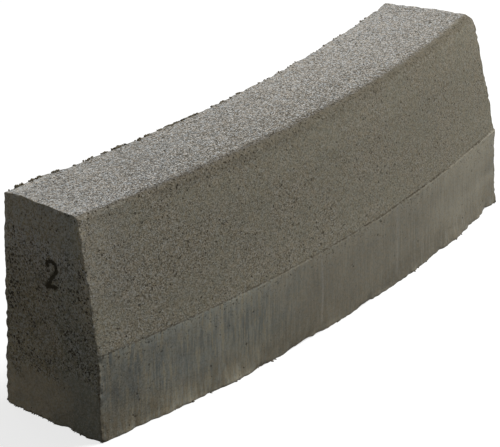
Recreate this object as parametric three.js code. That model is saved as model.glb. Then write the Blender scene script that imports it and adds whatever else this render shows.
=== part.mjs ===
// Concrete radius kerb stone: one pressed block, bent in plan so that its road face bulges outwards.
// Millimetres, +Z up. X runs along the stone, -Y faces the road, +Y faces the footway.
// The origin is at the middle of the stone's bounding box, on the ground.

import * as THREE from 'three';
import { mergeVertices } from 'three/addons/utils/BufferGeometryUtils.js';

// Section, taken square to the kerb line
const kerbHeight = 250;
const topWidth = 120;
const footWidth = 152;
const backDraft = 4;                // the back's foot stands this much further out than its top edge
const frontBandHeight = 100;        // upright band along the foot of the road face
const ledgeDepth = 2;               // the band stands this far proud of the sloped face above it
const arrisRadius = 15;             // rounding between the top and the sloped face
const backFootChamferDepth = 4;     // broken edge along the foot of the back
const backFootChamferHeight = 12;

// Plan
const backRadius = 2000;            // of the foot of the back, from the middle of the bend
const sweepAngle = 22.5;            // degrees between the two end faces: four stones turn a corner

// Fineness of the faceted surfaces
const stepsAlongKerb = 48;
const arrisDivisions = 5;

// The section as an outline: x is the distance out from the foot of the back, y is the height.
function kerbSection() {
  const slopeFoot = new THREE.Vector2(footWidth - ledgeDepth, frontBandHeight);
  const slopeTop = new THREE.Vector2(backDraft + topWidth, kerbHeight);
  const slopeAngle = Math.atan2(slopeTop.y - slopeFoot.y, slopeFoot.x - slopeTop.x);
  const arrisSetBack = arrisRadius * Math.tan(slopeAngle / 2);
  const backAtChamfer = backDraft * backFootChamferHeight / kerbHeight;

  const outline = new THREE.Shape();
  outline.moveTo(backFootChamferDepth, 0);
  outline.lineTo(footWidth, 0);
  outline.lineTo(footWidth, frontBandHeight);
  outline.lineTo(slopeFoot.x, slopeFoot.y);
  outline.absarc(
    slopeTop.x - arrisSetBack, kerbHeight - arrisRadius, arrisRadius,
    Math.PI / 2 - slopeAngle, Math.PI / 2, false,
  );
  outline.lineTo(backDraft, kerbHeight);
  outline.lineTo(backAtChamfer, backFootChamferHeight);
  outline.closePath();
  return outline;
}

// Carries the section round the bend. The straight extrusion is one unit long, and each of its
// points turns about the vertical line through the middle of the bend. The stone is then moved
// forward, so that the origin is midway between its road side and its footway side.
function bendAlongKerbLine(straight) {
  const points = straight.getAttribute('position');
  for (let i = 0; i < points.count; i += 1) {
    const radius = backRadius + points.getX(i);
    const turn = THREE.MathUtils.degToRad(sweepAngle) * (0.5 - points.getZ(i));
    points.setXYZ(i, radius * Math.sin(turn), -radius * Math.cos(turn), points.getY(i));
  }
  straight.computeBoundingBox();
  const { min, max } = straight.boundingBox;
  straight.translate(0, -(min.y + max.y) / 2, 0);
}

function kerbStone() {
  const geometry = new THREE.ExtrudeGeometry(kerbSection(), {
    depth: 1,
    steps: stepsAlongKerb,
    curveSegments: arrisDivisions,
    bevelEnabled: false,
  });
  geometry.deleteAttribute('uv');
  geometry.deleteAttribute('normal');
  bendAlongKerbLine(geometry);
  const closed = mergeVertices(geometry, 1e-4);
  closed.computeVertexNormals();

  const concrete = new THREE.MeshStandardMaterial({ color: 0x918d83, roughness: 0.95, metalness: 0 });
  const stone = new THREE.Mesh(closed, concrete);
  stone.name = 'kerb_stone';
  return stone;
}

const kerb = new THREE.Group();
kerb.add(kerbStone());

export default kerb;
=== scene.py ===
"""A concrete radius kerb stone on a pale studio floor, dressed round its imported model.

Everything is in metres: +X along the stone, -Y towards the road, +Z up.
"""

import math

import bpy
import numpy as np
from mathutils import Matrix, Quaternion, Vector


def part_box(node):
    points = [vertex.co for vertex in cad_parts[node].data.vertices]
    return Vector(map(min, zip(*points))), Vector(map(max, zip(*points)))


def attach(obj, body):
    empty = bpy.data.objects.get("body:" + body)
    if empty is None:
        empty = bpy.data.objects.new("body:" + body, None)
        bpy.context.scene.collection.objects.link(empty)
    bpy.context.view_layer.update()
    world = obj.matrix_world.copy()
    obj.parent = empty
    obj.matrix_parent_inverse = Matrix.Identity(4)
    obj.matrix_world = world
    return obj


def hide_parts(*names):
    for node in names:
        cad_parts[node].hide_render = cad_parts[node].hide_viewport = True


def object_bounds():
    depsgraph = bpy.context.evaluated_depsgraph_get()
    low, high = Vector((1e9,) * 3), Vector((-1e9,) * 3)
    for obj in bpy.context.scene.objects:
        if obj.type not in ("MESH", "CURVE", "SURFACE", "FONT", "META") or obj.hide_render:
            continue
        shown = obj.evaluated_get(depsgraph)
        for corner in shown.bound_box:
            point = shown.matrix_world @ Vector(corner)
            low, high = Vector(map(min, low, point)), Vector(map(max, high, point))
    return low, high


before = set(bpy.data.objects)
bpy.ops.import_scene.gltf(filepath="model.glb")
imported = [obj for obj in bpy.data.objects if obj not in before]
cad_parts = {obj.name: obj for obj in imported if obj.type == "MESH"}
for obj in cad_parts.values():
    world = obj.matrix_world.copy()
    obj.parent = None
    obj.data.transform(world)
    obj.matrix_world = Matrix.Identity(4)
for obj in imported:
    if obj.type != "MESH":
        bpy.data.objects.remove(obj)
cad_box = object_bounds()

# -------------------------------------- the pressed stone: its shape
# One block of dry-pressed concrete. The mould gives it a drafted back, a sloped road face and an
# upright foot band; the press head leaves the gritty top, and the steel end plates the two ends.
# Its edges crumble a little as it leaves the mould, and the mould's joint leaves the small ledge.

MM = 0.001
HEIGHT = 250 * MM
TOP_WIDTH = 120 * MM
FOOT_WIDTH = 152 * MM
BACK_DRAFT = 4 * MM
BAND_HEIGHT = 100 * MM
LEDGE = (0.5 * MM, 2 * MM)              # at the -X end, and at the +X end
ARRIS_RADIUS = (6 * MM, 16 * MM)        # likewise
BACK_FOOT_CHIP = (4 * MM, 12 * MM)      # how far the broken foot of the back reaches in, and up
BACK_RADIUS = 2.0
SWEEP = math.radians(22.5)

LINE_RADIUS = BACK_RADIUS + FOOT_WIDTH / 2      # the stone's length is measured on this circle
LENGTH = LINE_RADIUS * SWEEP
stone_low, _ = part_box("kerb_stone")
BEND_CENTRE_Y = stone_low.y + BACK_RADIUS + FOOT_WIDTH

# How far the stone stands off its mould's straight lines: (place in metres, distance in mm). The
# damp mix settles at the foot as the mould lifts, and the edges break here and there. The first
# three are placed along the stone from its middle, the next two out from its back, the last two up.
FRONT_FOOT_OUT = (
    (-0.41, 2), (-0.375, 2.3), (-0.36, -0.1), (-0.335, -0.2), (-0.315, 1.7), (-0.28, 1.3), (-0.24, 0),
    (-0.215, 3.1), (-0.18, 1.7), (-0.145, 0.5), (-0.115, 0.4), (-0.095, -2.6), (-0.075, -3.9),
    (-0.055, -2.6), (-0.035, 1.2), (0, 0.6), (0.03, -0.8), (0.05, -2.4), (0.07, -0.8), (0.11, 0.9),
    (0.16, 2.2), (0.2, 1.4), (0.23, 1), (0.245, 3.3), (0.27, 5.3), (0.3, 4.1), (0.32, 2.7), (0.35, 3.1),
    (0.38, -2.1), (0.395, 0.8), (0.41, 3.3))
BACK_TOP_OUT = (
    (-0.24, -1.4), (-0.2, -0.8), (-0.16, -0.1), (-0.09, -1), (-0.06, -0.2), (0, 1.7), (0.06, 1),
    (0.14, 2), (0.18, 1.8), (0.25, 3), (0.275, 1.3), (0.34, 1.7), (0.37, 0.8), (0.4, 0.9))
BACK_TOP_DOWN = (
    (-0.415, 6.4), (-0.4, 7.2), (-0.385, 5.2), (-0.36, 2.4), (-0.35, -0.4), (-0.335, 2.6), (-0.3, 3.9),
    (-0.28, 0.6), (-0.26, 1.5), (-0.21, 1.1), (-0.19, 2.3), (-0.17, 0.3))
NEAR_FOOT_OUT = (
    (0, 5.4), (0.013, 8.2), (0.028, 4.2), (0.05, 5.6), (0.065, 2.9), (0.088, 5), (0.098, 0.2),
    (0.113, 2.4), (0.128, 4.6), (0.14, 3.4), (0.152, -1))
FAR_TOP_DOWN = (
    (0, -1.6), (0.006, -1.5), (0.018, 0.7), (0.026, 0), (0.035, 0.2), (0.044, -0.8), (0.053, -0.2),
    (0.082, 0), (0.095, 1.6), (0.115, 3))
NEAR_BACK_EDGE_OUT = (
    (0, -5), (0.012, -1), (0.034, -1), (0.05, 0.8), (0.066, -0.6), (0.09, -2.1), (0.117, -1.5),
    (0.132, -0.7), (0.142, 0), (0.155, -2.5), (0.17, -1.8), (0.185, -0.4), (0.21, -1.4), (0.235, -0.6),
    (0.25, -1))
FAR_FRONT_EDGE_OUT = (
    (0, 5.4), (0.009, 4.7), (0.037, 4.5), (0.047, 3.2), (0.06, 3.6), (0.1, 2.8), (0.114, 2.8),
    (0.15, 1.9), (0.17, 0.7), (0.2, -0.1), (0.22, -1.5), (0.237, -2.6))

# How dirty the front foot's edge is along the stone: (place in metres, share).
FOOT_DIRT = (
    (-0.38, 0.4), (-0.36, 0), (-0.26, 0.1), (-0.2, 0.8), (-0.1, 0.8), (-0.08, 0), (0, 0.1),
    (0.08, 0.4))


def close_steps(length, stops, usual, fine, reach):
    """Places from 0 to length, `usual` apart and closing up to `fine` near each stop.

    A density of lines per metre gets a hump exp(-distance / reach) at each stop; its running sum is
    read off at equal shares."""
    ruler = np.linspace(0, length, 6001)
    density = np.full(ruler.shape, 1 / usual)
    for stop in stops:
        density += (1 / fine - 1 / usual) * np.exp(-abs(ruler - stop) / reach)
    total = np.concatenate(([0.0], np.cumsum((density[1:] + density[:-1]) / 2 * np.diff(ruler))))
    shares = int(round(total[-1]))
    return np.interp(np.arange(shares + 1) * total[-1] / shares, total, ruler)


def block_skin(counts):
    """The six sides of a block of lattice points, `counts` cells along each of its three axes.

    Each side is a grid of quads. Lattice points that two sides share become one vertex, by their
    running number. Returns the lattice place of each vertex and the quads, facing outwards."""
    size = np.array(counts) + 1
    quads = []
    for axis in range(3):
        first, second = (axis + 1) % 3, (axis + 2) % 3
        p, q = np.meshgrid(np.arange(counts[first]), np.arange(counts[second]), indexing="ij")
        for level in (0, counts[axis]):
            corners = []
            for dp, dq in ((0, 0), (1, 0), (1, 1), (0, 1)):
                place = np.empty(p.shape + (3,), np.int64)
                place[..., axis] = level
                place[..., first] = p + dp
                place[..., second] = q + dq
                corners.append((place[..., 0] * size[1] + place[..., 1]) * size[2] + place[..., 2])
            side = np.stack(corners, -1).reshape(-1, 4)
            quads.append(side if level else side[:, ::-1])
    numbers, quads = np.unique(np.concatenate(quads), return_inverse=True)
    lattice = np.stack((numbers // (size[1] * size[2]), numbers // size[2] % size[1],
                        numbers % size[2]), -1)
    return lattice, quads.reshape(-1, 4)


def smooth(value, low, high):
    """0 below low, 1 above high, and the curve 3t^2 - 2t^3 between them."""
    t = np.clip((value - low) / (high - low), 0, 1)
    return t * t * (3 - 2 * t)


def stand_off(places, line):
    """The distances of one of the lines above at the places, in metres: straight from each of its
    corners to the next."""
    corners, distances = zip(*line)
    return np.interp(places, corners, distances) * MM


def fade(distance, reach):
    """1 at an edge, falling off evenly: 1/e of it is left `reach` millimetres away."""
    return np.exp(-distance / (reach * MM))


def near_both(first, second, width):
    """1 on the edge where two sides meet, fading by the bell curve over `width`; `first` and
    `second` are the distances from the two sides."""
    return np.exp(-(first ** 2 + second ** 2) / width ** 2)


def lumps(points, size, seed):
    """Smooth random heights from -1 to 1, with about `size` metres from one lump to the next.

    Space is cut into cubes of that size, each corner gets a random height from its whole-number
    place and the seed, and the eight corners round a point are blended with smooth weights."""
    cell = points / size
    base = np.floor(cell).astype(np.int64)
    part = cell - base
    part = part * part * (3 - 2 * part)
    total = np.zeros(len(points))
    for corner in range(8):
        step = np.array([corner & 1, corner >> 1 & 1, corner >> 2 & 1])
        key = ((base + step) * np.array([73856093, 19349663, 83492791])).astype(np.uint64)
        mixed = key[:, 0] ^ key[:, 1] ^ key[:, 2] ^ np.uint64(seed * 2654435761 % 2**32)
        mixed = (mixed ^ mixed >> np.uint64(13)) * np.uint64(1274126177) % np.uint64(2**32)
        mixed = (mixed ^ mixed >> np.uint64(16)) * np.uint64(2246822519) % np.uint64(2**32)
        weight = np.prod(np.where(step, part, 1 - part), axis=1)
        total += weight * (mixed.astype(float) / 2**31 - 1)
    return total


def vertex_normals(points, quads):
    """Each vertex's normal: the sum of its quads' normals (half the cross product of the two
    diagonals), made one long."""
    first = points[quads[:, 2]] - points[quads[:, 0]]
    second = points[quads[:, 3]] - points[quads[:, 1]]
    face = np.cross(first, second)
    total = np.stack([np.bincount(quads.ravel(), np.repeat(face[:, i], 4), len(points))
                      for i in range(3)], -1)
    return total / np.linalg.norm(total, axis=1, keepdims=True)


# The lattice: about 3 mm between lines, closing up at every edge and at the ledge.
MESH_STEP = 3.3 * MM
ALONG_STEP = 2.95 * MM
EDGE_STEP = 0.7 * MM
EDGE_REACH = 2.5 * MM

across_lines = close_steps(FOOT_WIDTH, (0, FOOT_WIDTH), MESH_STEP, EDGE_STEP, EDGE_REACH) / FOOT_WIDTH
along_lines = close_steps(LENGTH, (0, LENGTH), ALONG_STEP, EDGE_STEP, EDGE_REACH)
up_lines = close_steps(HEIGHT, (0, BAND_HEIGHT, HEIGHT), MESH_STEP, EDGE_STEP, EDGE_REACH)
lattice, stone_quads = block_skin((len(across_lines) - 1, len(along_lines) - 1, len(up_lines) - 1))
across = across_lines[lattice[:, 0]]
along = along_lines[lattice[:, 1]]
up = up_lines[lattice[:, 2]]

# The section with straight sides and sharp corners. The ledge wanders a little along the stone.
wander = lumps(np.stack((along, 0 * along, 0 * along), -1), 45 * MM, 3) * 0.5 * MM
ledge = LEDGE[0] + smooth(along, 0, LENGTH) * (LEDGE[1] - LEDGE[0])
above_ledge = smooth(up, BAND_HEIGHT + wander - 0.8 * MM, BAND_HEIGHT + wander + 0.4 * MM)
slope_run = (up - BAND_HEIGHT) / (HEIGHT - BAND_HEIGHT)
slope_out = FOOT_WIDTH - ledge + slope_run * (BACK_DRAFT + TOP_WIDTH - FOOT_WIDTH + ledge)
front_out = FOOT_WIDTH + above_ledge * (slope_out - FOOT_WIDTH)
back_out = BACK_DRAFT * up / HEIGHT
width = front_out - back_out

# Every edge is rounded by a fraction that is 1 on a side and 0 at the rounding's own depth: the
# three fractions of a point are scaled by their greatest over their length, which turns the
# corner of a cube into the corner of a ball. The arris has an arc of its own, below, so there
# only the greater of the first two counts.
from_side = np.minimum(across, 1 - across) * width
from_flat = np.minimum(up, HEIGHT - up)
from_end = np.minimum(along, LENGTH - along)
at_back = across < 0.5
at_base = up < HEIGHT / 2
at_arris = ~at_back & ~at_base
seat = np.stack((along, across * FOOT_WIDTH, up), -1)
edge_round = (0.8 + 0.4 * lumps(seat, 26 * MM, 4)) * MM
chip_share = smooth(across * width, 2 * BACK_FOOT_CHIP[0], 0) * at_back * at_base
side_round = edge_round + (BACK_FOOT_CHIP[0] - edge_round) * chip_share
flat_round = edge_round + (BACK_FOOT_CHIP[1] - edge_round) * chip_share
share = np.stack((1 - from_side / side_round, 1 - from_flat / flat_round,
                  1 - from_end / edge_round), -1).clip(0, 1)
share[:, 0] *= ~(at_arris & (share[:, 0] < share[:, 1]))
share[:, 1] *= ~(at_arris & (share[:, 1] <= share[:, 0]))
ball = share.max(1) / np.maximum(np.linalg.norm(share, axis=1), 1e-9)
inward = share * (1 - ball[:, None]) * np.stack((side_round, flat_round, edge_round), -1)
out = back_out + across * width + np.where(at_back, 1, -1) * inward[:, 0]
high = up + np.where(at_base, 1, -1) * inward[:, 1]
line = along + np.where(along < LENGTH / 2, 1, -1) * inward[:, 2]

# The arris: inside the wedge between the top's normal and the slope's, a point is drawn towards
# the arc's centre by the greater of its direction's cosines with the two normals.
arris_radius = ARRIS_RADIUS[0] + along / LENGTH * (ARRIS_RADIUS[1] - ARRIS_RADIUS[0])
slope_angle = math.atan2(HEIGHT - BAND_HEIGHT, FOOT_WIDTH - LEDGE[1] - BACK_DRAFT - TOP_WIDTH)
slope_normal = (math.sin(slope_angle), math.cos(slope_angle))
arc_out = BACK_DRAFT + TOP_WIDTH - arris_radius * math.tan(slope_angle / 2)
arc_high = HEIGHT - arris_radius
ray = np.stack((out - arc_out, high - arc_high), -1)
reach = np.maximum(np.linalg.norm(ray, axis=1), 1e-9)
to_slope = ray @ slope_normal / reach
to_top = ray[:, 1] / reach
in_wedge = (ray[:, 0] > 0) & (slope_normal[0] * ray[:, 1] > slope_normal[1] * ray[:, 0])
draw = np.where(in_wedge, np.maximum(to_slope, to_top), 1)
out = arc_out + ray[:, 0] * draw
high = arc_high + ray[:, 1] * draw

# How far round the arris a point is, measured along the section from where the top's flat ends:
# less than 0 on the top, and on past the arc down the slope.
past_arc = arris_radius * slope_angle + ray @ (slope_normal[1], -slope_normal[0])
round_place = np.where(in_wedge, arris_radius * np.arctan2(ray[:, 0], ray[:, 1]), past_arc)
round_place = np.where(ray[:, 0] <= 0, ray[:, 0], round_place)

# The stone's own lines, each fading away from its edge. A broken foot moves up as well as in.
station = along - LENGTH / 2
to_near, to_far = along, LENGTH - along
front_half = smooth(across, 0.5, 1)
toe = stand_off(station, FRONT_FOOT_OUT) * front_half
out = out + np.maximum(toe, 0) * fade(high, 16)
out = out + stand_off(up, FAR_FRONT_EDGE_OUT) * front_half * fade(to_far, 60)
line = line - np.maximum(out - FOOT_WIDTH, 0) * math.tan(SWEEP / 2) * fade(to_far, 60)
broken = np.minimum(toe, 0) * fade(high, 7) * fade(FOOT_WIDTH - out, 7)
out = out + 0.5 * broken
high = high - 0.5 * broken
line = line - stand_off(out, NEAR_FOOT_OUT) * fade(high, 25) * fade(to_near, 25)
line = line - stand_off(up, NEAR_BACK_EDGE_OUT) * fade(out, 15) * fade(to_near, 15)
under_top = np.maximum(HEIGHT - high, 0)
back_half = 1 - smooth(across, 0, 0.5)
out = out - stand_off(station, BACK_TOP_OUT) * back_half * fade(under_top, 30)
high = high - stand_off(station, BACK_TOP_DOWN) * fade(out, 15) * fade(under_top, 20)
high = high - stand_off(out, FAR_TOP_DOWN) * fade(to_far, 6) * fade(under_top, 15)

# Bent round the middle of the bend.
turn = (line - LENGTH / 2) / LINE_RADIUS
radius = BACK_RADIUS + out
stone_points = np.stack((radius * np.sin(turn), BEND_CENTRE_Y - radius * np.cos(turn), high), -1)
outward = vertex_normals(stone_points, stone_quads)

# Which finish a point has: 1 on that side of the block and 0 off it. The arris is darkest round its
# middle. Its dark band, in mm up and down from there, is narrowest at the -X end and widens along.
end_side = (from_end <= 0).astype(float)
back_side = (across <= 0).astype(float)
off_ends = (1 - end_side) * (1 - back_side)
top_edge = round_place + lumps(stone_points, 7 * MM, 5) * 1.6 * MM
top_side = smooth(up, HEIGHT - 9 * MM, HEIGHT - 6 * MM) * smooth(top_edge, 6 * MM, -1 * MM) * off_ends
band_side = smooth(up, BAND_HEIGHT + 0.5 * MM, BAND_HEIGHT - 0.5 * MM) * (across >= 1)
joint = smooth(abs(up - BAND_HEIGHT - wander - 0.1 * MM), 1.4 * MM, 0.5 * MM) * (across >= 1)
widens = smooth(along, 30 * MM, 165 * MM) - 0.3 * smooth(along, 600 * MM, 800 * MM)
past_middle = (top_edge - arris_radius * slope_angle / 2) / MM
arris_side = ((past_middle + 8.4 + 9.6 * widens) / (8 + 6 * widens)).clip(0, 1)
arris_side *= ((6.6 + 7.2 * widens - past_middle) / (10 + 5 * widens)).clip(0, 1)
arris_side *= off_ends * ~at_back * ~at_base


# The edges are marked three times: wide for the bites out of them, narrower for their dirt, and
# narrowest for the crumbs that cling to them.
BITE_WIDTH = 4.5 * MM
DIRT_WIDTH = 1.8 * MM
CRUMB_WIDTH = 1.3 * MM


def edge_marks(breadth):
    """How much of an edge a point is: for the back's top edge, the foot's edges, the ends' foot
    edges, and the ends' other edges."""
    at_top = ~at_base
    side_flat = near_both(from_side, from_flat, breadth)
    end_flat = near_both(from_end, from_flat, breadth)
    return (side_flat * at_back * at_top, side_flat * at_base, end_flat * at_base,
            np.maximum(near_both(from_end, from_side, breadth), end_flat * at_top))


near_half = 0.03 + 0.97 * smooth(along, LENGTH * 0.54, LENGTH * 0.38)
back_top, foot, end_foot, end_edges = edge_marks(BITE_WIDTH)
edge_near = np.maximum.reduce((back_top, foot, end_foot, end_edges))
dirty_back_top, dirty_foot, dirty_end_foot, dirty_end_edges = edge_marks(DIRT_WIDTH)
foot_dirt = np.interp(station, *zip(*FOOT_DIRT))
band_edges = smooth(up, BAND_HEIGHT + 5 * MM, BAND_HEIGHT - 20 * MM)
edge_wear = np.maximum.reduce((dirty_back_top * near_half * 0.2, dirty_foot * foot_dirt, dirty_end_foot,
                               dirty_end_edges * band_edges))

# Relief, in mm: broad unevenness, the grit of each face, upright drag marks on the band, and bites
# out of the edges, which go only inwards. Each rough part: (where, height, size of a lump, seed).
ROUGH_PARTS = (
    (1, 0.12, 90, 11), (top_side, 0.2, 6, 12), (1 - top_side, 0.1, 7, 13), (end_side, 0.15, 8, 14),
    (arris_side, 0.3, 5, 19), (edge_near, 0.5, 5.5, 17), (edge_near, 0.35, 13, 18),
    (end_edges, 1.3, 4.5, 24), (foot + 0.5 * back_top, 0.8, 8, 20), (end_foot, 1.4, 5, 25))
BITE_DEPTH = 0.9
relief = -0.05 - 0.15 * top_side + band_side * 0.1 * lumps(stone_points * (1, 1, 0.12), 7 * MM, 15)
for where, rough_height, lump_size, seed in ROUGH_PARTS:
    relief += where * rough_height * lumps(stone_points, lump_size * MM, seed)
bite = np.clip(lumps(stone_points, 10 * MM, 16) * 1.5 - 0.5, 0, 1)
relief -= (edge_near + back_top + end_foot) * bite * BITE_DEPTH
stone_points = stone_points + outward * relief[:, None] * MM


def edge_crumbs(places, sizes, seed, rows=3, columns=6):
    """Grains of grit that cling to the edges, as one set of points and quads.

    A grain is a ball over the grid of `rows` by `columns` angles, drawn out at random along each
    axis and dented by a random share at each grid point; its poles are closed by thin quads."""
    random = np.random.default_rng(seed)
    polar = np.linspace(0.45, math.pi - 0.45, rows)
    round_angle = np.arange(columns) * 2 * math.pi / columns
    ball = np.stack((np.outer(np.sin(polar), np.cos(round_angle)),
                     np.outer(np.sin(polar), np.sin(round_angle)),
                     np.outer(np.cos(polar), np.ones(columns))), -1).reshape(-1, 3)
    stretch = random.uniform(0.7, 1.3, (len(places), 1, 3))
    dent = random.uniform(0.75, 1.15, (len(places), len(ball), 1))
    points = places[:, None] + ball * stretch * dent * sizes[:, None, None]
    row, column = np.meshgrid(np.arange(rows - 1), np.arange(columns), indexing="ij")
    after = (column + 1) % columns
    belt = np.stack((row * columns + column, (row + 1) * columns + column,
                     (row + 1) * columns + after, row * columns + after), -1).reshape(-1, 4)
    cap = np.arange(columns // 2 - 1)
    upper = np.stack((cap, cap + 1, columns - 2 - cap, columns - 1 - cap), -1)
    lower = (rows - 1) * columns + upper[:, ::-1]
    grain = np.concatenate((belt, upper, lower))
    quads = (grain + np.arange(len(places))[:, None, None] * len(ball)).reshape(-1, 4)
    return points.reshape(-1, 3), quads


# Most grains cling to the back's top edge, by the -X end, and some to the foot. They are darker
# than any edge: partly dirt, and partly painted shade, as they are mostly seen on their shaded side.
CRUMB_COUNT = 500
CRUMB_SIZE = 2 * MM                     # half of the widest
CRUMB_DIRT_AND_SHADE = 1.2
crumb_random = np.random.default_rng(21)
thin_back_top, thin_foot, thin_end_foot, _ = edge_marks(CRUMB_WIDTH)
crumb_chance = thin_back_top * near_half
crumb_chance *= smooth(to_far, 10 * MM, 40 * MM) * smooth(to_near, 2 * MM, 30 * MM)
crumb_chance += thin_foot * 0.02 + thin_end_foot * 0.15
crumb_chance *= smooth(lumps(stone_points, 9 * MM, 22), -0.25, 0.4)
crumb_seats = crumb_random.choice(len(stone_points), CRUMB_COUNT, False, crumb_chance / crumb_chance.sum())
crumb_sizes = crumb_random.uniform(0.55, 1.0, CRUMB_COUNT) ** 2 * CRUMB_SIZE
crumb_sizes *= 1 - 0.45 * thin_end_foot[crumb_seats]
crumb_rise = crumb_random.uniform(0.1, 0.8, CRUMB_COUNT) * crumb_sizes
crumb_places = stone_points[crumb_seats] + outward[crumb_seats] * crumb_rise[:, None]
crumb_points, crumb_quads = edge_crumbs(crumb_places, crumb_sizes, 23)

# Nothing may stand outside the mould: the grains are flattened against the model's own box.
all_points = np.concatenate((stone_points, crumb_points))
all_points = all_points.clip(np.array(cad_box[0]), np.array(cad_box[1]))
all_quads = np.concatenate((stone_quads, crumb_quads + len(stone_points)))
all_finish = np.zeros((len(all_points), 3), np.float32)
all_finish[:len(stone_points)] = np.stack((top_side, band_side, end_side), -1)
all_wear_and_shade = np.zeros((len(all_points), 3), np.float32)
all_wear_and_shade[:len(stone_points)] = np.stack((edge_wear, joint, arris_side), -1)
all_wear_and_shade[len(stone_points):, 0] = CRUMB_DIRT_AND_SHADE

stone_mesh = bpy.data.meshes.new("pressed_stone")
stone_mesh.vertices.add(len(all_points))
stone_mesh.vertices.foreach_set("co", all_points.astype(np.float32).ravel())
stone_mesh.loops.add(all_quads.size)
stone_mesh.loops.foreach_set("vertex_index", all_quads.astype(np.int32).ravel())
stone_mesh.polygons.add(len(all_quads))
stone_mesh.polygons.foreach_set("loop_start", np.arange(0, all_quads.size, 4, dtype=np.int32))
stone_mesh.update(calc_edges=True)

# Where each point was before the bend: along the stone, out from its back, and up.
sideways, deep, high = all_points[:, 0], BEND_CENTRE_Y - all_points[:, 1], all_points[:, 2]
unbent_points = np.stack((np.arctan2(sideways, deep) * LINE_RADIUS, np.hypot(sideways, deep) - BACK_RADIUS,
                          high), -1)
for name, values in (("unbent", unbent_points), ("finish", all_finish), ("wear_and_shade", all_wear_and_shade)):
    layer = stone_mesh.attributes.new(name, "FLOAT_VECTOR", "POINT")
    layer.data.foreach_set("vector", values.astype(np.float32).ravel())
stone_mesh.validate()
stone_mesh.shade_smooth()
stone = bpy.data.objects.new("pressed_stone", stone_mesh)
bpy.context.scene.collection.objects.link(stone)

# -------------------------------------- the pressed stone: its finish
# Grey cement and sand, a little brown where iron in the sand has bled. Each face keeps the mark of
# what shaped it: the press head's grit on top, pits on the sloped side, upright drag marks on the
# foot band, open pores on the ends. A stencilled 2 on one end gives the bend's radius in metres.


def lay_node(tree, kind, sockets, **settings):
    """Lays one node of a shader tree, with its settings, and sets or joins its inputs. Gives back its
    outputs."""
    made = tree.nodes.new("ShaderNode" + kind)
    for name, value in settings.items():
        setattr(made, name, value)
    for socket, value in sockets.items():
        if isinstance(value, Value):
            tree.links.new(value.socket, made.inputs[socket])
        else:
            made.inputs[socket].default_value = value
    return made.outputs


class Value:
    """What a node puts out: a number, a place or a colour. The nodes that are laid from it stand in
    the same tree, and sums, differences and products with it are nodes too."""

    def __init__(self, socket):
        self.socket = socket
        self.tree = socket.id_data

    def lay(self, kind, output, sockets, **settings):
        """One output of a new node."""
        return Value(lay_node(self.tree, kind, sockets, **settings)[output])

    def group(self, tree, **sockets):
        """What a node group puts out, where this value is its Place."""
        outputs = lay_node(self.tree, "Group", {"Place": self, **sockets}, node_tree=tree)
        values = [Value(output) for output in outputs]
        return values if len(values) > 1 else values[0]

    def reckon(self, operation, *others):
        """What a Math node makes of this number and the others."""
        return self.lay("Math", 0, dict(enumerate((self, *others))), operation=operation)

    def move(self, operation, *others):
        """The place or colour that a Vector Math node makes of this one and the others."""
        return self.lay("VectorMath", "Vector", dict(enumerate((self, *others))), operation=operation)

    def measure(self, operation, *others):
        """The number that a Vector Math node makes of this place and the others."""
        return self.lay("VectorMath", "Value", dict(enumerate((self, *others))), operation=operation)

    def __add__(self, other):
        return self.reckon("ADD", other)

    def __sub__(self, other):
        return self.reckon("SUBTRACT", other)

    def __rsub__(self, other):
        return self.reckon("MULTIPLY_ADD", -1, other)

    def __mul__(self, other):
        """A place or colour is scaled by a number, and multiplied part by part by its like."""
        if self.socket.type == "VALUE":
            return self.reckon("MULTIPLY", other)
        if isinstance(other, tuple) or isinstance(other, Value) and other.socket.type != "VALUE":
            return self.move("MULTIPLY", other)
        return self.lay("VectorMath", "Vector", {0: self, "Scale": other}, operation="SCALE")

    def ramp(self, low, high, to_low=0, to_high=1):
        """The number from low to high, carried smoothly to to_low and to_high and held beyond."""
        sockets = {"Value": self, "From Min": low, "From Max": high, "To Min": to_low, "To Max": to_high}
        return self.lay("MapRange", "Result", sockets, interpolation_type="SMOOTHSTEP")

    def tone(self, inside):
        """A share made a tone: 1 where the share is 0, and `inside` where it is 1."""
        return self.ramp(0, 1, 1, inside)

    def blend(self, first, second):
        """The first colour where this share is 0, the second where it is 1."""
        return self.lay("Mix", "Result", {"Factor": self, "A": first, "B": second}, data_type="RGBA")

    def cloud(self, size, detail=2, roughness=0.55):
        """Soft random patches about `size` metres wide, from 0 to 1 and mostly 0.3 to 0.7."""
        sockets = {"Vector": self, "Scale": 1 / size, "Detail": detail, "Roughness": roughness}
        return self.lay("TexNoise", "Fac", sockets)

    def sway(self, to_low, to_high):
        """A cloud's usual span, carried to two values."""
        return self.ramp(0.3, 0.7, to_low, to_high)

    def cells(self, density):
        """Space cut into random cells, so many to the metre: two random numbers for each, and how far
        off its middle is, in cells."""
        cell = lay_node(self.tree, "TexVoronoi", {"Vector": self, "Scale": density})
        random = lay_node(self.tree, "SeparateColor", {"Color": Value(cell["Color"])})
        return Value(random["Red"]), Value(random["Green"]), Value(cell["Distance"])


def stains(first, second, table):
    """The tone that a table of stains leaves on a face: each is an oval, given as its middle and its
    half sizes along two directions, and its own tone. It fades from half way out to past its rim."""
    spot = first.lay("CombineXYZ", 0, {"X": first, "Y": second})
    tone = 1
    for middle_first, middle_second, half_first, half_second, stain_tone in table:
        away = spot.move("SUBTRACT", (middle_first, middle_second, 0))
        away = away.move("DIVIDE", (half_first, half_second, 1)).measure("LENGTH")
        tone = away.ramp(0.5, 1.3, stain_tone) * tone
    return tone


def new_group(name, inputs, outputs):
    """An empty node group; `inputs` and `outputs` give the kind of each named socket. Gives back the
    group and what it is given, in order."""
    tree = bpy.data.node_groups.new(name, "ShaderNodeTree")
    for direction, sockets in (("INPUT", inputs), ("OUTPUT", outputs)):
        for socket, kind in sockets.items():
            tree.interface.new_socket(socket, in_out=direction, socket_type="NodeSocket" + kind)
    given = tree.nodes.new("NodeGroupInput").outputs
    return tree, [Value(given[socket]) for socket in inputs]


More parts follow.
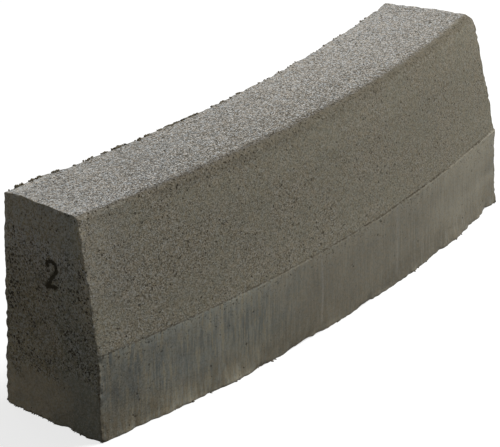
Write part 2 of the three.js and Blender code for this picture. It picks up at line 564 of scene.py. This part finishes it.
def put_out(tree, *values):
    """Joins what a group puts out, in the order of its outputs, and gives back the group."""
    result = tree.nodes.new("NodeGroupOutput").inputs
    for value, socket in zip(values, result):
        tree.links.new(value.socket, socket)
    return tree


# What each face's finish is given, the point's place on the unbent stone and that place's three
# parts, and what it puts out.
FACE = {"Place": "Vector", "Along": "Float", "Out": "Float", "Up": "Float"}
FINISH = {"Colour": "Color", "Height": "Float"}
PORE = {"Pore": "Float"}

DIRT = (0.04, 0.032, 0.021, 1)
EDGE_DIRT_AND_SHADE = (0.128, 0.105, 0.068, 1)
ARRIS_BROWN = (0.108, 0.092, 0.069, 1)
DARK_SAND = (0.064, 0.057, 0.044, 1)
PALE_SAND = (0.52, 0.512, 0.49, 1)
COOL_SAND = (0.94, 1.00, 1.07, 1)
WARM_SAND = (1.06, 1.00, 0.93, 1)


def sanded():
    """Sand in a face: space is cut into random cells, Density to the metre, one to a grain. Half of
    the grains are drawn towards dark brown sand, by Dark at most, and half towards pale sand, by
    Pale at most. Each also leans warm or cool, by Lean at most, and stands highest in its middle."""
    sockets = dict(Place="Vector", Colour="Color", Density="Float", Dark="Float", Pale="Float", Lean="Float")
    tree, (place, colour, density, dark, pale, lean) = new_group("sanded", sockets, FINISH)
    darkness, warmth, distance = place.cells(density)
    colour = (darkness.ramp(0.5, 0) * dark).blend(colour, DARK_SAND)
    colour = (darkness.ramp(0.5, 1) * pale).blend(colour, PALE_SAND)
    colour = colour * ((warmth - 0.5) * lean + 0.5).blend(COOL_SAND, WARM_SAND)
    return put_out(tree, colour, 1 - distance)


def open_pores():
    """Ragged pores: wherever a fine cloud, with Density patches to the metre, rises over Level, the
    surface is open."""
    sockets = dict(Place="Vector", Density="Float", Level="Float")
    tree, (place, density, level) = new_group("open_pores", sockets, PORE)
    sockets = {"Vector": place, "Scale": density, "Detail": 1.5, "Roughness": 0.6}
    return put_out(tree, (place.lay("TexNoise", "Fac", sockets) - level).ramp(0, 0.05))


def lone_pores():
    """Round ragged pores that stand alone: space is cut into random cells, Density to the metre, and
    the given Share of them have a pore in the middle, each of its own width."""
    sockets = dict(Place="Vector", Density="Float", Share="Float")
    tree, (place, density, share) = new_group("lone_pores", sockets, PORE)
    ragged = place.lay("TexNoise", "Color", {"Vector": place, "Scale": 700, "Detail": 1})
    random, _, distance = ragged.move("MULTIPLY_ADD", (1.8 * MM,) * 3, place).cells(density)
    half_width = random.ramp(1 - share, 1, 0, 0.66)
    return put_out(tree, (half_width - distance).ramp(0, 0.16))


SAND = sanded()
PORES = open_pores()
LONE_PORES = lone_pores()

# Stains and washed patches. On the top each is (along, out) of its middle, its half sizes, its tone.
TOP_STAINS = (
    (0.2, 0.032, 0.22, 0.028, 1.08), (-0.22, 0.062, 0.19, 0.02, 0.93), (-0.24, 0.107, 0.04, 0.012, 1.15),
    (-0.395, 0.095, 0.025, 0.025, 1.11), (-0.378, 0.013, 0.024, 0.01, 1.36),
    (-0.31, 0.01, 0.03, 0.012, 0.84), (-0.406, 0.033, 0.009, 0.016, 0.82))
TOP_GREY = (0.246, 0.238, 0.217, 1)
TOP_BROWN = (0.278, 0.259, 0.225, 1)
TOP_PALE = (0.295, 0.278, 0.247, 1)


def top_finish():
    """The press head's face: neutral grey grit with brown gaps, duller towards the arris."""
    tree, (place, along, out, _) = new_group("top_finish", FACE, FINISH)
    warm = (along + place.cloud(0.09)).ramp(0.1, 0.5)
    colour = warm.blend(TOP_GREY, TOP_BROWN)
    colour = along.ramp(0.1, 0.25).blend(colour, TOP_PALE)
    to_arris = out.ramp(0.03, 0.112) * along.ramp(-0.385, -0.27)
    to_arris = to_arris * along.ramp(-0.26, -0.16, 0.88) * along.ramp(-0.03, 0.2, 1, 0.53)
    # Painted light: lighter along the back edge, most at the -X corner, against the shade of its droop.
    painted_light_corner = out.ramp(0.032, 0.012) * along.ramp(-0.33, -0.36)
    tone = to_arris.ramp(0, 1, 0.99, 0.7) * along.ramp(-0.375, -0.41, 1, 1.2)
    tone = tone * out.ramp(0.035, 0.01, 1, 1.17) * painted_light_corner.tone(1.22)
    tone = tone * stains(along, out, TOP_STAINS) * place.cloud(0.03, 3).sway(0.94, 1.06)
    colour = colour * tone
    rusty = out.ramp(0.035, 0.11) * along.ramp(-0.3, -0.18) * along.ramp(0.02, 0.2, 1, 0.75)
    colour = rusty.blend(colour, colour * (1, 0.975, 0.91))
    dark = along.ramp(-0.3, 0.3, 0.13, 0.42)
    colour, coarse = place.group(SAND, Colour=colour, Density=540, Dark=dark, Pale=dark * 0.76, Lean=0.8)
    colour, fine = place.group(SAND, Colour=colour, Density=780, Dark=0.98, Pale=1, Lean=1)
    gap_level = along.reckon("ABSOLUTE").ramp(0.05, 0.25, 0.612, 0.64)
    gaps = place.group(PORES, Density=330, Level=gap_level)
    return put_out(tree, (gaps * 0.52).blend(colour, DIRT), coarse * 0.55 + fine * 0.45 - gaps * 0.5)


OLIVE = (0.246, 0.226, 0.166, 1)
OLIVE_BROWN = (0.258, 0.231, 0.168, 1)
EDGE_BROWN = (0.205, 0.178, 0.118, 1)


def slope_finish():
    """The mould's sloped face: olive brown-grey, fine sand and small pits that come in patches,
    paler by the -X end and browner right beside it."""
    tree, (place, along, _, up) = new_group("slope_finish", FACE, FINISH)
    patch = place.cloud(0.05, 3)
    colour = patch.ramp(0.36, 0.64).blend(OLIVE, OLIVE_BROWN)
    by_end = along.ramp(-0.35, -0.4) * up.ramp(0.08, 0.22, 0.4)
    high_up = up.ramp(0.19, 0.222) * along.ramp(0.3, 0.1, 0.7)
    tone = by_end.tone(1.22) * along.ramp(-0.29, -0.36, 1, 1.03) * along.ramp(0.06, 0.18, 1, 0.96)
    tone = tone * high_up.tone(1.1) * up.ramp(0.15, 0.11, 1, 1.04)
    colour = colour * (tone * place.cloud(0.02, 3).sway(0.965, 1.035))
    cooler = along.ramp(-0.32, -0.36) * up.ramp(0.13, 0.17)
    colour = cooler.blend(colour, colour * (1, 1.005, 1.05))
    at_end = (along + patch * 0.004).ramp(-0.402, -0.408, 0, 0.6)
    colour = at_end.blend(colour, EDGE_BROWN)
    dark = along.ramp(-0.25, 0, 0.12, 0.08)
    colour, coarse = place.group(SAND, Colour=colour, Density=400, Dark=dark, Pale=0.06, Lean=0.25)
    dark = along.ramp(-0.35, 0.35, 0.64, 0.5) * patch.ramp(0.35, 0.65, 0.85, 1.15)
    pale = dark * along.ramp(-0.36, -0.22, 0.66, 0.5)
    lean = along.ramp(-0.4, -0.1, 0.45, 0)
    colour, _ = place.group(SAND, Colour=colour, Density=900, Dark=dark, Pale=pale, Lean=lean)
    level = place.cloud(0.07, 3).ramp(0.35, 0.65, 0.648, 0.616)
    small = place.group(PORES, Density=430, Level=level)
    share = patch.ramp(0.42, 0.62, 0.02, 0.16) * along.ramp(-0.25, 0.1, 1, 0.5)
    large = place.group(LONE_PORES, Density=380, Share=share)
    pits = (small * 0.45).reckon("MAXIMUM", large * 0.75)
    return put_out(tree, pits.blend(colour, DIRT), coarse * 0.2 - pits * 0.8)


# On the band each stain is (along, up) of its middle, its half sizes, its tone. The thin runs of
# lime are (along, half width, strength).
BAND_STAINS = (
    (-0.406, 0.042, 0.009, 0.03, 1.29), (-0.36, 0.07, 0.03, 0.03, 1.09),
    (-0.408, 0.002, 0.009, 0.009, 0.6), (-0.408, 0.096, 0.007, 0.008, 0.86),
    (-0.36, 0.027, 0.022, 0.009, 1.1), (-0.33, 0.095, 0.06, 0.008, 1.14),
    (-0.33, 0.003, 0.06, 0.008, 1.14), (-0.29, 0.045, 0.06, 0.012, 1.13),
    (-0.183, 0.05, 0.028, 0.05, 0.93), (-0.15, 0.01, 0.05, 0.014, 0.87),
    (-0.098, 0.072, 0.036, 0.024, 1.12), (-0.05, 0.003, 0.05, 0.006, 1.26),
    (0.152, 0.05, 0.022, 0.05, 0.93), (0.3, 0.003, 0.12, 0.007, 0.92))
LIME_RUNS = ((-0.045, 0.0028, 0.45), (-0.229, 0.003, 0.38), (-0.287, 0.0045, 0.26), (0.12, 0.006, 0.3))
BEIGE = (0.287, 0.264, 0.206, 1)
BAND_GREY = (0.282, 0.275, 0.226, 1)
BLUE_GREY = (0.178, 0.189, 0.174, 1)
DRAG_GREY = (0.16, 0.165, 0.15, 1)
OCHRE = (0.365, 0.318, 0.218, 1)
FOOT_BROWN = (0.225, 0.188, 0.122, 1)
CHALK = (0.37, 0.35, 0.29, 1)
LIME = (0.43, 0.41, 0.36, 1)


def band_finish():
    """The foot band: dragged smooth as the mould lifts. Blue-grey and ochre drag marks to the -X
    side, beige to the other, pores under the ledge, and brown and chalky marks at the foot."""
    tree, (place, along, _, up) = new_group("band_finish", FACE, FINISH)
    thin = (place * (1, 1, 0.09)).cloud(0.003)
    other_thin = (place * (1, 1, 0.12)).cloud(0.0042, 1)
    broad = (place * (1, 1, 0.35)).cloud(0.02)
    patch = place.cloud(0.045)
    grey = (along + patch * 0.12).ramp(-0.01, -0.13)
    colour = grey.blend(BEIGE, BAND_GREY)
    streaked = thin.ramp(0.47, 0.62) * broad.ramp(0.4, 0.6, 0.25) * along.ramp(-0.38, -0.25, 1, 0.66)
    mottled = (place * (1, 1, 0.5)).cloud(0.028).ramp(0.4, 0.62, 0, 0.56) * along.ramp(-0.3, -0.15, 1, 0.65)
    blue = streaked.reckon("MAXIMUM", mottled) * grey.ramp(0, 1, 0.16, 0.95) * up.ramp(0.01, 0.03, 0.4)
    colour = blue.blend(colour, BLUE_GREY)
    dragged = (place * (1, 1, 0.22)).cloud(0.0075, 1).ramp(0.58, 0.7) * grey.ramp(0, 1, 0, 0.6)
    colour = (dragged * up.ramp(0.085, 0.07)).blend(colour, DRAG_GREY)
    ochre = other_thin.ramp(0.55, 0.66) * grey.ramp(0, 1, 0.1, 0.5)
    colour = ochre.blend(colour, OCHRE)
    browned = (up - patch * 0.02).ramp(0.04, 0.005) * along.ramp(0.1, -0.35, 0.3)
    browned = browned * other_thin.ramp(0.6, 0.42, 0.15, 0.75)
    colour = browned.blend(colour, FOOT_BROWN)
    # A painted highlight on the band's lip just under the ledge, where it turns up to the lamp.
    lip_highlight = up.ramp(0.0935, 0.0965) * along.ramp(-0.405, -0.37) * along.ramp(0, -0.15)
    far_foot = along.ramp(0.02, 0.14) * up.ramp(0.04, 0.008)
    dark_patch = along.ramp(-0.335, -0.36) * along.ramp(-0.41, -0.39)
    dark_patch = dark_patch * up.ramp(0.02, 0.045) * up.ramp(0.08, 0.06)
    near_part = along.ramp(-0.37, -0.29) * along.ramp(-0.08, -0.2)
    near_foot = near_part * up.ramp(0.035, 0.008)
    pale_foot = along.ramp(-0.385, -0.36) * along.ramp(-0.24, -0.29) * up.ramp(0.05, 0.01)
    tone = thin.sway(1.06, 0.94) * patch.sway(0.94, 1.06) * along.ramp(0.17, 0.25, 1.02, 1.2)
    tone = tone * up.ramp(0.07, 0.098, 1, 1.17) * lip_highlight.tone(1.09) * far_foot.tone(0.84)
    tone = tone * dark_patch.tone(0.9) * near_part.tone(1.15) * near_foot.tone(1.1) * pale_foot.tone(1.17)
    colour = colour * (tone * stains(along, up, BAND_STAINS))
    faint = other_thin.ramp(0.5, 0.68) * along.ramp(0, 0.25, 0, 0.36)
    colour = faint.blend(colour, CHALK)
    from_middle = up - BAND_HEIGHT / 2
    bow = from_middle * from_middle * -1.6
    for run_along, half_width, strength in LIME_RUNS:
        beside = (along - (bow + run_along)).reckon("ABSOLUTE")
        run = beside.ramp(half_width, 0) * up.ramp(0.006, 0.02) * strength
        colour = run.blend(colour, LIME)
    dark = along.ramp(-0.38, -0.22, 0.3, 0.15)
    colour, _ = place.group(SAND, Colour=colour, Density=700, Dark=dark, Pale=dark * 0.5, Lean=0)
    level = (up + patch * 0.04).ramp(0.085, 0.125, 0.7, 0.605)
    small = place.group(PORES, Density=400, Level=level)
    share = along.ramp(-0.33, -0.15, 0.055, 0.012) * patch.ramp(0.4, 0.6, 0.3)
    pits = small.reckon("MAXIMUM", place.group(LONE_PORES, Density=330, Share=share))
    return put_out(tree, (pits * 0.6).blend(colour, DIRT), thin * -0.2 - pits * 0.5)


# On the ends each stain is (out, up) of its middle, its half sizes, its tone. The pores gather at
# (out, up, radius).
END_STAINS = (
    (0.013, 0.243, 0.008, 0.008, 1.13), (0.07, 0.244, 0.013, 0.008, 0.83),
    (0.131, 0.206, 0.012, 0.01, 0.84), (0.07, 0.18, 0.032, 0.015, 0.9),
    (0.012, 0.19, 0.01, 0.02, 1.13), (0.132, 0.182, 0.012, 0.012, 1.09),
    (0.066, 0.16, 0.013, 0.011, 0.74), (0.108, 0.158, 0.027, 0.012, 1.15),
    (0.012, 0.14, 0.01, 0.012, 1.2), (0.05, 0.14, 0.013, 0.012, 1.08),
    (0.09, 0.1, 0.013, 0.012, 1.12), (0.118, 0.095, 0.014, 0.018, 0.9),
    (0.034, 0.072, 0.03, 0.022, 1.14), (0.012, 0.065, 0.01, 0.055, 1.08),
    (0.045, 0.04, 0.035, 0.01, 0.91), (0.11, 0.04, 0.04, 0.01, 0.9))
PORE_CLUSTERS = (
    (0.015, 0.172, 0.012), (0.016, 0.138, 0.015), (0.102, 0.107, 0.014), (0.113, 0.093, 0.012),
    (0.134, 0.077, 0.013), (0.044, 0.066, 0.018), (0.02, 0.075, 0.014), (0.124, 0.184, 0.009),
    (0.128, 0.16, 0.012), (0.048, 0.106, 0.009))
END_BACK, END_FRONT = (0.303, 0.265, 0.174, 1), (0.256, 0.246, 0.18, 1)
LOW_BACK_BEIGE_AND_LIGHT, LOW_FRONT = (0.415, 0.362, 0.262, 1), (0.236, 0.23, 0.18, 1)
SANDY = (0.415, 0.365, 0.25, 1)


def end_finish():
    """The end plates' face: sandy and paler near the top, open in the middle in loose clusters of
    pores, and closed again at the foot, where it is beige behind, lightened by painted light, and grey in
    front."""
    tree, (place, _, out, up) = new_group("end_finish", FACE, FINISH)
    patch = place.cloud(0.028)
    wavy_up = up + patch.sway(-0.008, 0.008)
    forward = (out + patch.sway(0.015, -0.015)).ramp(0.055, 0.125)
    foot = (wavy_up + out.ramp(0.02, 0.12, 0, -0.012)).ramp(0.055, 0.037)
    head = (wavy_up + out.ramp(0.04, 0.12, 0, 0.015)).ramp(0.19, 0.23)
    open_part = (1 - foot) * head.tone(0.45)
    colour = forward.blend(END_BACK, END_FRONT)
    colour = colour * wavy_up.ramp(0.125, 0.225, 1, 1.27)
    colour = wavy_up.ramp(0.13, 0.2).blend(colour, colour * (0.98, 1, 1.1))
    # Low on the end: beige behind, made paler by painted light against the floor's shade there.
    low = forward.blend(LOW_BACK_BEIGE_AND_LIGHT, LOW_FRONT) * up.ramp(0.04, 0.01, 1.03, 0.9)
    colour = foot.blend(colour, low)
    front_strip = out.ramp(0.112, 0.135) * up.ramp(0.1, 0.16) * 0.9
    colour = front_strip.blend(colour, SANDY)
    head_front = out.ramp(0.105, 0.125) * up.ramp(0.175, 0.2)
    colour = head_front.blend(colour, colour * (1, 0.98, 0.91))
    back_strip = out.ramp(0.022, 0.008) * up.ramp(0.17, 0.2)
    back_corner = out.ramp(0.024, 0.01) * up.ramp(0.205, 0.235)
    tone = back_strip.tone(1.18) * back_corner.tone(0.91) * stains(out, up, END_STAINS)
    colour = colour * (tone * place.cloud(0.01, 3).sway(0.92, 1.08))
    dark = open_part.ramp(0, 1, 0.17, 0.5)
    pale = dark * up.ramp(0.16, 0.2, 0.6, 1.1)
    colour, coarse = place.group(SAND, Colour=colour, Density=420, Dark=dark * 0.8, Pale=pale, Lean=0.3)
    colour, _ = place.group(SAND, Colour=colour, Density=700, Dark=dark * 1.25, Pale=pale * 1.5, Lean=0.2)
    clusters = place.cloud(0.018).ramp(0.46, 0.62) * up.ramp(0.215, 0.185) * 0.6
    in_plane = place * (0, 1, 1)
    frayed = place.cloud(0.006, 1).sway(-0.005, 0.005)
    for cluster_out, cluster_up, radius in PORE_CLUSTERS:
        away = in_plane.measure("DISTANCE", (0, cluster_out, cluster_up)) + frayed
        clusters = clusters.reckon("MAXIMUM", away.ramp(radius, radius * 0.3))
    clusters = clusters * open_part
    big = place.group(PORES, Density=240, Level=clusters.ramp(0, 1, 0.72, 0.565))
    small = place.group(PORES, Density=480, Level=open_part.ramp(0, 1, 0.74, 0.66) - clusters * 0.05)
    lone = place.group(LONE_PORES, Density=360, Share=open_part * clusters.ramp(0, 1, 0.2, 0.55))
    pits = (big * 0.92).reckon("MAXIMUM", small * 0.6).reckon("MAXIMUM", lone * 0.92)
    return put_out(tree, pits.blend(colour, DIRT), coarse * open_part * 0.4 - pits * 1.3)


def stencil_stroke():
    """How far a place is from the straight line between two ends: the place is dropped onto the
    line, at a share of it held between 0 and 1."""
    sockets = dict(Place="Vector", Start="Vector", End="Vector")
    tree, (place, start, end) = new_group("stencil_stroke", sockets, {"Distance": "Float"})
    reach = place.move("SUBTRACT", start)
    whole = end.move("SUBTRACT", start)
    share = reach.measure("DOT_PRODUCT", whole).reckon("DIVIDE", whole.measure("DOT_PRODUCT", whole))
    held = share.lay("Clamp", 0, {"Value": share})
    return put_out(tree, reach.measure("DISTANCE", whole * held))


# The figure: its bowl is an arc from the left over to the right, then the diagonal runs down to
# the left and the foot back to the right. Its places are (out, up), in metres.
FIGURE_CENTRE = (79.5 * MM, 172.5 * MM)
BOWL_CENTRE = (1.3 * MM, 7.8 * MM)
BOWL_RADIUS = 7.6 * MM
FIGURE_FOOT = ((-7.6 * MM, -15.2 * MM), (6.6 * MM, -13.2 * MM))
STROKE_WIDTH = 5.9 * MM
PAINT = (0.024, 0.019, 0.009, 1)
STROKE = stencil_stroke()

bowl_angles = np.radians(np.linspace(168, -32, 8))
figure_points = np.stack((np.cos(bowl_angles), np.sin(bowl_angles)), -1) * BOWL_RADIUS + BOWL_CENTRE
figure_points = [*figure_points.tolist(), *FIGURE_FOOT]

concrete = bpy.data.materials.new("pressed_concrete")
concrete.use_nodes = True
surface = concrete.node_tree.nodes["Principled BSDF"].inputs
surface["Specular IOR Level"].default_value = 0.1


def mark(name):
    """One of the mesh's marks, and its three parts."""
    whole = Value(lay_node(concrete.node_tree, "Attribute", {}, attribute_name=name)["Vector"])
    return whole, *[Value(part) for part in lay_node(whole.tree, "SeparateXYZ", {"Vector": whole})]


def join(value, socket):
    """Joins a value to an input of its own tree's shader."""
    value.tree.links.new(value.socket, socket)


# Where a point is on the unbent stone, in metres: along it, out from its back, and up.
place, along, out, up = mark("unbent")
_, is_top, is_band, is_end = mark("finish")
_, at_edge, at_joint, at_arris = mark("wear_and_shade")

colour, height = place.group(slope_finish(), Along=along, Out=out, Up=up)
for share, finish in ((is_top, top_finish()), (is_band, band_finish()), (is_end, end_finish())):
    other_colour, other_height = place.group(finish, Along=along, Out=out, Up=up)
    colour = share.blend(colour, other_colour)
    sockets = {"Factor": share, "A": height, "B": other_height}
    height = share.lay("Mix", "Result", sockets, data_type="FLOAT")

# The cement's own faint brown and blue-grey patches.
tinge = place.cloud(0.0045, 1).ramp(0.35, 0.65)
colour = colour * tinge.blend((0.975, 1, 1.03, 1), (1.025, 1, 0.97, 1))

# The arris is least packed: brown, gritty and open, with a ragged margin.
ragged = place.cloud(0.003)
on_arris = (at_arris + ragged.sway(-0.2, 0.2)).ramp(0, 1)
on_arris = on_arris * along.ramp(-0.36, -0.31, 1, 0.92) * along.ramp(0.1, 0.3, 1, 0.9)
sockets = {"Factor": 0.45, "A": colour * (1, 0.98, 0.94) * 0.55, "B": ARRIS_BROWN}
colour = on_arris.blend(colour, on_arris.lay("Mix", "Result", sockets, data_type="RGBA"))
arris_pits = place.group(PORES, Density=330, Level=on_arris.ramp(0, 1, 0.69, 0.582))
arris_pits = arris_pits * on_arris.ramp(0, 0.3) * along.ramp(-0.15, 0.25, 0.9, 0.5)
colour = arris_pits.blend(colour, DIRT)

# A dark line along the mould's joint over the ledge, thinner here and there, and dirt along the rough edges.
joint_line = at_joint * place.cloud(0.035).ramp(0.38, 0.55, 0.55, 0.85) * along.ramp(-0.35, 0.3, 0.8, 1.05)
joint_line = joint_line * place.cloud(0.0045, 1).ramp(0.36, 0.56, 0.55)
colour = joint_line.blend(colour, DIRT)
# The rough edges get dirt; the grains on them get more of it, as dirt and painted shade.
colour = (at_edge * ragged.ramp(0.32, 0.6, 0.3, 0.8)).blend(colour, EDGE_DIRT_AND_SHADE)

# The figure on the -X end, its edges soft and a few sand grains bare of paint.
figure_place = place.move("SUBTRACT", (0, *FIGURE_CENTRE)) * (0, 1, 1)
nearest = 1
for start, end in zip(figure_points[:-1], figure_points[1:]):
    nearest = figure_place.group(STROKE, Start=(0, *start), End=(0, *end)).reckon("MINIMUM", nearest)
nearest = nearest + ragged.sway(1 * MM, -1 * MM)
painted = nearest.ramp(STROKE_WIDTH / 2 + 1 * MM, STROKE_WIDTH / 2 - 1.4 * MM) * is_end
painted = painted * along.reckon("LESS_THAN", 0) * 0.95
join(painted.blend(colour, PAINT), surface["Base Color"])

sockets = {"Height": height - arris_pits, "Distance": MM, "Strength": 1}
join(height.lay("Bump", "Normal", sockets), surface["Normal"])
join(place.cloud(0.02).sway(0.9, 0.98) - is_band * 0.1, surface["Roughness"])
stone_mesh.materials.append(concrete)

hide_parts("kerb_stone")
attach(stone, "root")

# -------------------------------------- the studio
# A wide pale floor of smooth board. It shows white to the camera, with the stone's soft shadow on
# it, and gives back little light, so that the stone's shaded faces keep their depth.

FLOOR_REACH = 30.0
BOARD_LIT = (0.08, 0.08, 0.08, 1)       # what the board gives back to the stone
BOARD_SEEN = (0.32, 0.32, 0.32, 1)      # what it shows to the camera, besides its glow
BOARD_GLOW = 0.74
ROOM_GLOW = 0.22
floor_mesh = bpy.data.meshes.new("studio_floor")
floor_corners = [(x * FLOOR_REACH, y * FLOOR_REACH, 0) for x, y in ((-1, -1), (1, -1), (1, 1), (-1, 1))]
floor_mesh.from_pydata(floor_corners, [], [(0, 1, 2, 3)])
floor = bpy.data.objects.new("studio_floor", floor_mesh)
bpy.context.scene.collection.objects.link(floor)


def seen(tree):
    """1 on the rays that show a surface itself, straight, mirrored or through something clear, and
    0 on the rays that light others."""
    ray = lay_node(tree, "LightPath", {})
    mirrored = Value(ray["Is Glossy Ray"]).reckon("MAXIMUM", Value(ray["Is Transmission Ray"]))
    return mirrored.reckon("MAXIMUM", Value(ray["Is Camera Ray"]))


pale_board = bpy.data.materials.new("pale_board")
pale_board.use_nodes = True
surface = pale_board.node_tree.nodes["Principled BSDF"].inputs
surface["Roughness"].default_value = 1.0
surface["Specular IOR Level"].default_value = 0.0
surface["Emission Color"].default_value = (1, 1, 1, 1)
board_seen = seen(pale_board.node_tree)
join(board_seen.blend(BOARD_LIT, BOARD_SEEN), surface["Base Color"])
join(board_seen * BOARD_GLOW, surface["Emission Strength"])
floor_mesh.materials.append(pale_board)

# The room: white to the camera, and a dim even glow on everything else.
room = bpy.data.worlds.new("studio_room")
room.use_nodes = True
bpy.context.scene.world = room
glow = room.node_tree.nodes["Background"].inputs
glow["Color"].default_value = (1, 1, 1, 1)
join(seen(room.node_tree).ramp(0, 1, ROOM_GLOW), glow["Strength"])


def soft_lamp(name, direction, distance, side, level):
    """A square lamp `distance` away from the stone, towards `direction`, that faces it.

    `level` is about how bright a white face turned straight to it looks. A square lamp gives a
    face that is far off energy / (pi x distance)^2 of light."""
    direction = Vector(direction).normalized()
    lamp = bpy.data.lights.new(name, "AREA")
    lamp.shape = "SQUARE"
    lamp.size = side
    lamp.energy = level * math.pi ** 2 * distance ** 2
    lamp_object = bpy.data.objects.new(name, lamp)
    lamp_object.location = direction * distance
    lamp_object.rotation_mode = "QUATERNION"
    lamp_object.rotation_quaternion = direction.to_track_quat("Z", "Y")
    bpy.context.scene.collection.objects.link(lamp_object)


soft_lamp("key_lamp", (0.459, -0.265, 0.848), 5.0, 1.8, 1.0)
soft_lamp("back_lamp", (0.55, 1.0, 0.13), 5.0, 1.2, 0.25)

# -------------------------------------- the camera
# A long lens, a good 3 m from the stone. It looks down from beyond the -X end, on that end, the
# road face and the top.

CAMERA_PLACE = Vector((-2.5235, -1.6705, 1.3217))
CAMERA_TARGET = Vector((-0.0239, 0.0218, 0.1011))
CAMERA_ROLL = math.radians(-0.2)
CAMERA_LENS = 200.2
SENSOR_WIDTH = 36
camera_data = bpy.data.cameras.new("camera")
camera_data.sensor_width = SENSOR_WIDTH
camera_data.lens = CAMERA_LENS
camera = bpy.data.objects.new("camera", camera_data)
camera.location = CAMERA_PLACE
camera.rotation_mode = "QUATERNION"
facing = (CAMERA_TARGET - CAMERA_PLACE).to_track_quat("-Z", "Y")
camera.rotation_quaternion = facing @ Quaternion((0, 0, 1), CAMERA_ROLL)
bpy.context.scene.collection.objects.link(camera)
bpy.context.scene.camera = camera
bpy.context.scene.view_settings.view_transform = "Standard"
